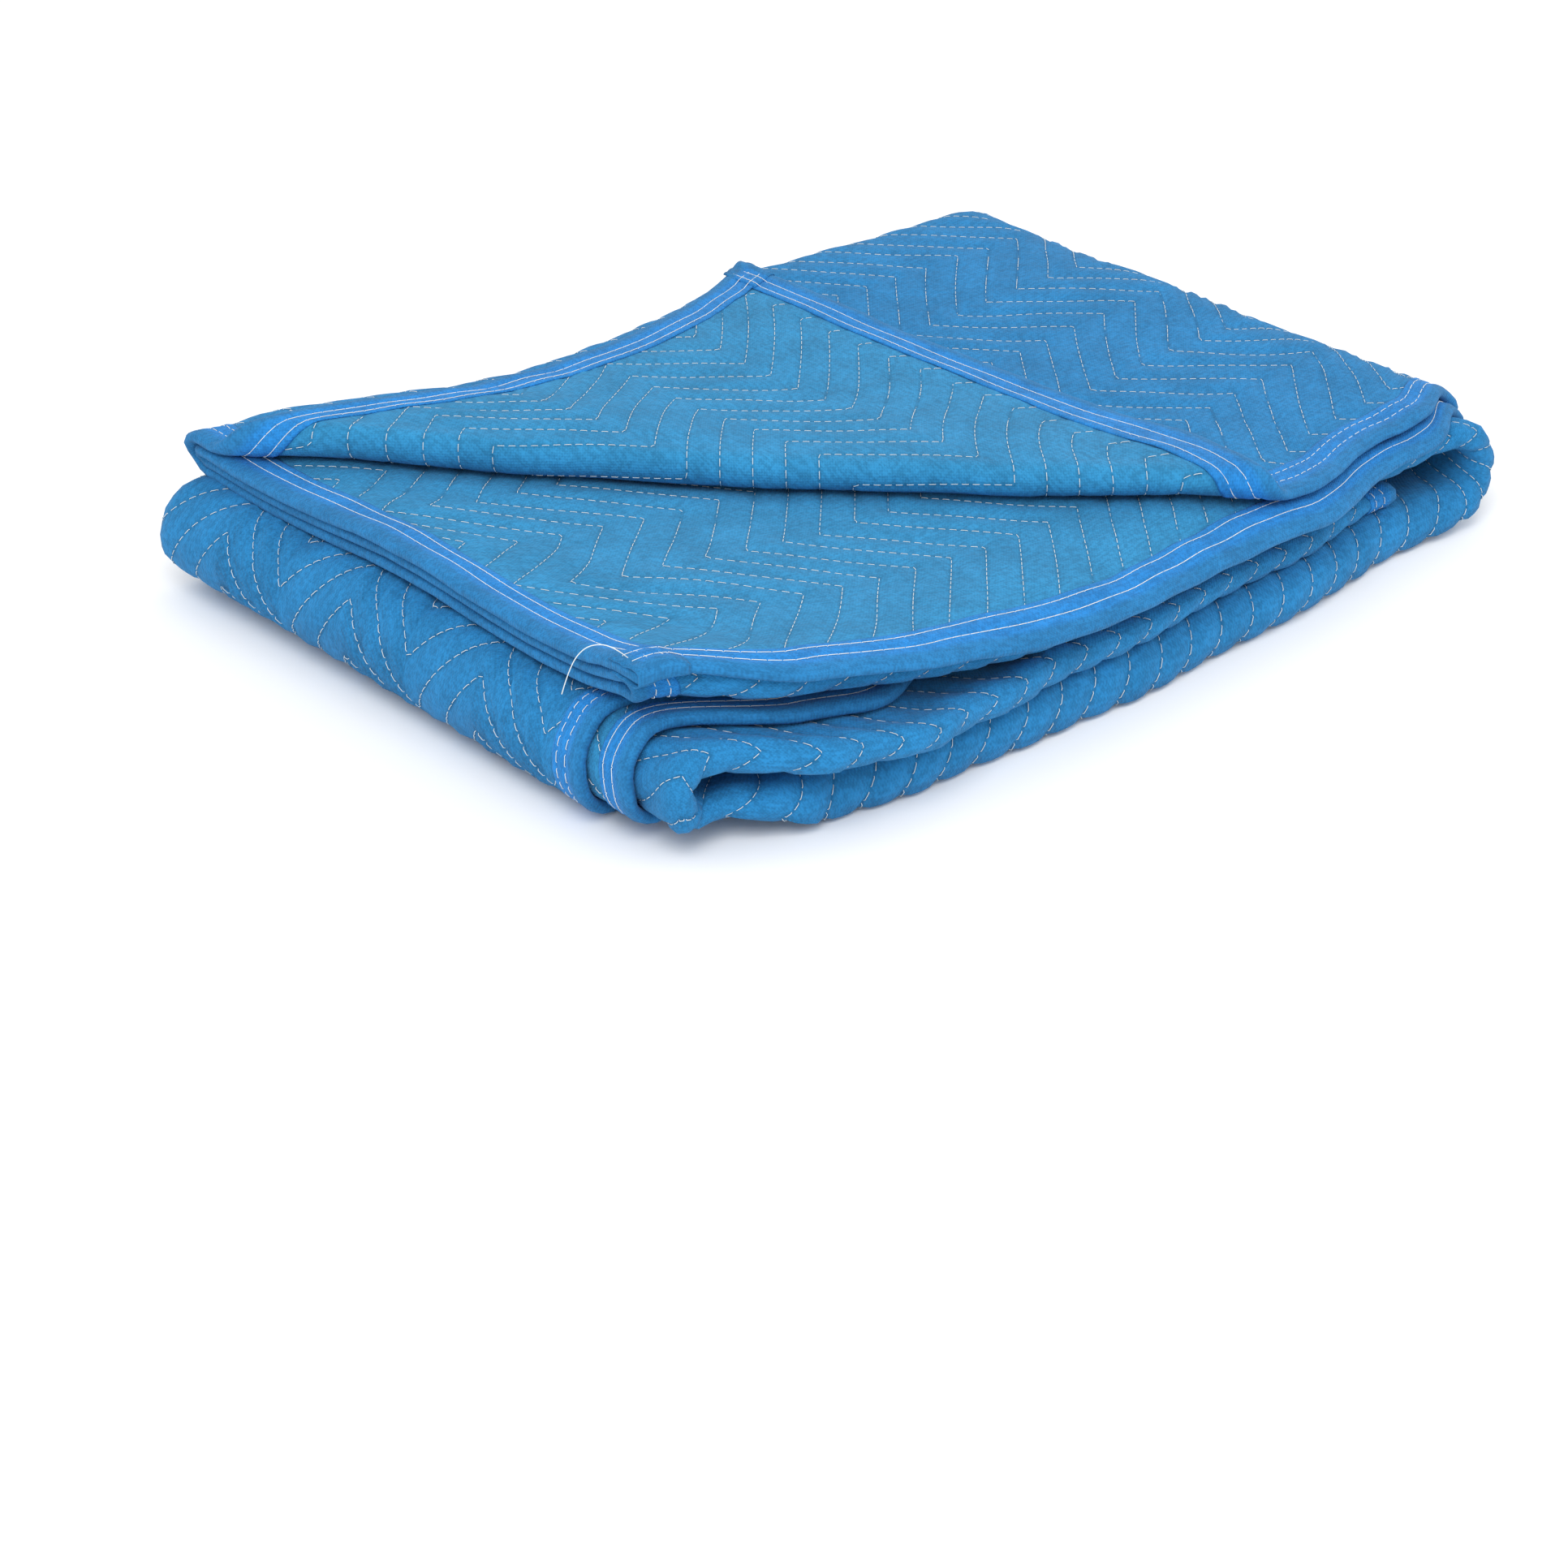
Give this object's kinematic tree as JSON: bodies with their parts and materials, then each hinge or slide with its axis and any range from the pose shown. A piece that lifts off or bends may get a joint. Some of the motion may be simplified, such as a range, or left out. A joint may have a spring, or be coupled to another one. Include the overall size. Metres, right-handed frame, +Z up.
{
  "type": "moving blanket",
  "caption": "Quilted moving blanket with bound edges, folded into a flat bundle with one top corner turned back, for padding furniture in transit.",
  "frame": {"origin": "centre of the bounding box at its bottom, on the surface the bundle rests on", "axes": "+X along the bundle's longer side towards its closed right turn, +Y from the bound front to the folded back, +Z up"},
  "size_m": [0.7336, 0.5138, 0.1262],
  "materials": {
    "quilted_cloth": "matt woven cotton and polyester, quilted",
    "binding": "matt folded polyester tape"
  },
  "bodies": {
    "root": {"quilted_cloth": "quilted_cloth", "binding_front_top": "binding", "binding_front_under": "binding", "binding_left_end": "binding", "binding_inner_end": "binding"}
  },
  "joints": []
}
